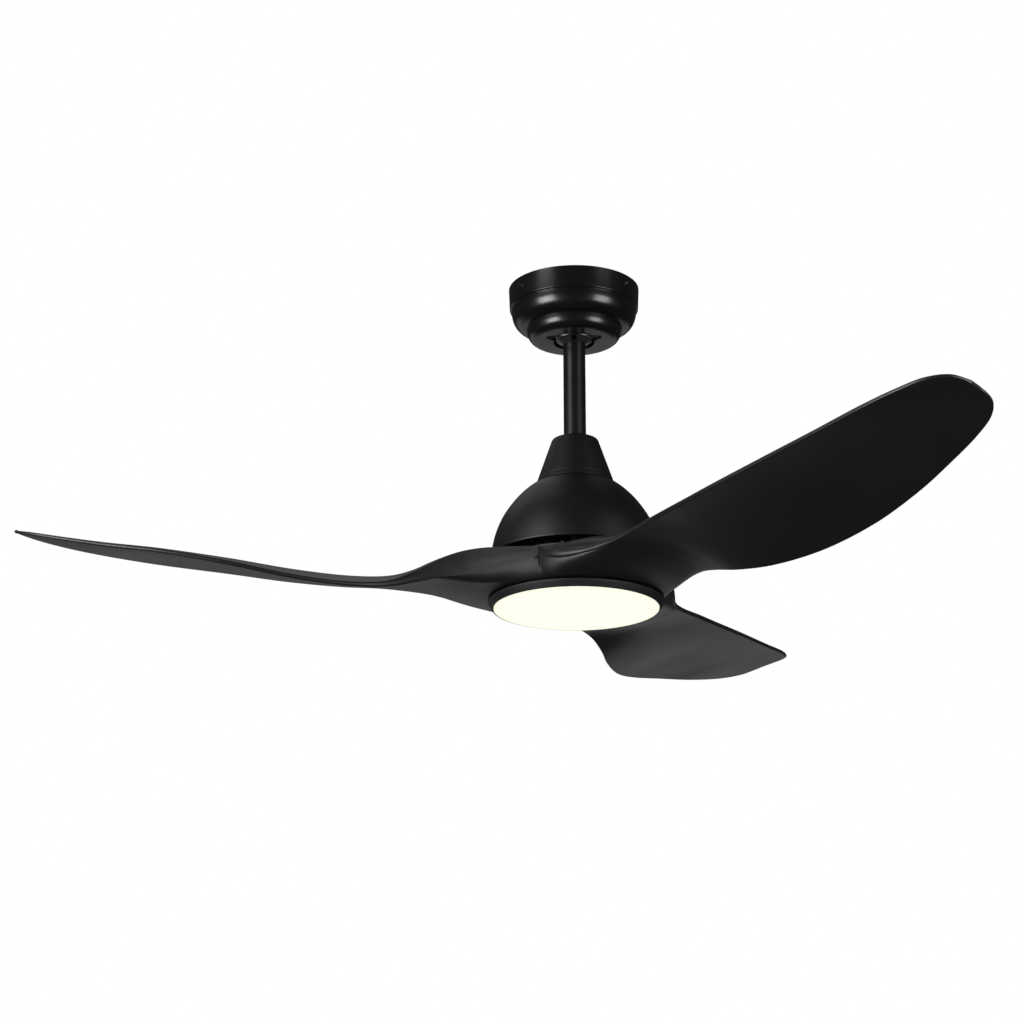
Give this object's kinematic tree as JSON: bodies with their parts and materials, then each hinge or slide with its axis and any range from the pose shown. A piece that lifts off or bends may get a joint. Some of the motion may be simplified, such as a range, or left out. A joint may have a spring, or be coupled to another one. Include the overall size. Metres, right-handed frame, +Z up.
{
  "type": "ceiling fan with light",
  "caption": "Downrod ceiling fan: moulded blades whose roots close into a ring round a domed motor housing, with a round opal light below and a stepped ceiling canopy above.",
  "frame": {"origin": "centre of the ceiling plane: midway between the two slots of the hanger bracket, on its top face", "axes": "+Z up into the ceiling; X along the line of the bracket's slots; the fan hangs towards -Z"},
  "size_m": [0.9876, 1.0602, 0.38],
  "materials": {
    "canopy_paint": "satin black powder coat",
    "rod_paint": "satin black powder coat",
    "housing_paint": "satin black powder coat",
    "blade_plastic": "matt moulded black",
    "pan_paint": "matt black paint",
    "opal_lens": "opal diffuser, satin",
    "zinc_steel": "zinc plated",
    "black_screw": "blackened",
    "ball_nylon": "glossy moulded black",
    "bearing_steel": "polished",
    "lamination": "stacked electrical steel",
    "coil_copper": "enamelled copper",
    "magnet": "nickel plated",
    "cast_alloy": "die cast",
    "board_green": "solder resist",
    "component_black": "moulded",
    "terminal_nylon": "moulded nylon",
    "led_white": "phosphor",
    "board_white": "white solder resist on aluminium",
    "lead_sleeve": "insulated lead",
    "grommet_rubber": "soft black rubber"
  },
  "bodies": {
    "ceiling_mount": {"hanger_bracket": "zinc_steel", "canopy": "canopy_paint", "canopy_screws": "black_screw", "earth_screw": "zinc_steel", "terminal_block": "terminal_nylon", "supply_leads": "lead_sleeve"},
    "stem": {"ball_pin": "zinc_steel", "ball_set_screw": "zinc_steel", "bearing_balls": "bearing_steel", "bearing_inner_races": "bearing_steel", "board_standoffs": "zinc_steel", "coupling_bolt": "zinc_steel", "coupling_set_screws": "zinc_steel", "downrod": "rod_paint", "driver_board": "board_green", "driver_components": "component_black", "driver_plate": "zinc_steel", "hanger_ball": "ball_nylon", "housing_screws": "zinc_steel", "led_board": "board_white", "led_chips": "led_white", "led_connector": "terminal_nylon", "light_bracket": "zinc_steel", "light_pan": "pan_paint", "light_screws": "zinc_steel", "motor_coupling": "rod_paint", "motor_housing": "housing_paint", "motor_shaft": "zinc_steel", "retaining_rings": "zinc_steel", "rod_leads": "lead_sleeve", "shaft_nut": "zinc_steel", "spring_clip": "zinc_steel", "stator_carrier": "cast_alloy", "stator_coils": "coil_copper", "stator_core": "lamination"},
    "rotor": {"bearing_outer_races": "bearing_steel", "rotor_base": "cast_alloy", "flux_ring": "lamination", "rotor_magnets": "magnet", "rotor_cover": "cast_alloy", "rotor_screws": "zinc_steel", "blade_1": "blade_plastic", "blade_2": "blade_plastic", "blade_3": "blade_plastic", "blade_grommets": "grommet_rubber", "blade_screws": "zinc_steel"},
    "coupling_cover": {"coupling_cover": "housing_paint"},
    "diffuser": {"diffuser": "opal_lens"}
  },
  "joints": [
    {"name": "hanger_tilt", "type": "hinge", "parent": "ceiling_mount", "child": "stem", "pos_m": [0, 0, -0.0345], "axis": [1, 0, 0], "range_deg": [-16, 16]},
    {"name": "blade_spin", "type": "hinge", "parent": "stem", "child": "rotor", "pos_m": [0, 0, -0.34], "axis": [0, 0, 1], "continuous": true},
    {"name": "cover_slide", "type": "slide", "parent": "stem", "child": "coupling_cover", "axis": [0, 0, 1], "range_m": [0, 0.085]},
    {"name": "diffuser_twist", "type": "hinge", "parent": "stem", "child": "diffuser", "pos_m": [0, 0, -0.375], "axis": [0, 0, 1], "range_deg": [0, 20]}
  ]
}
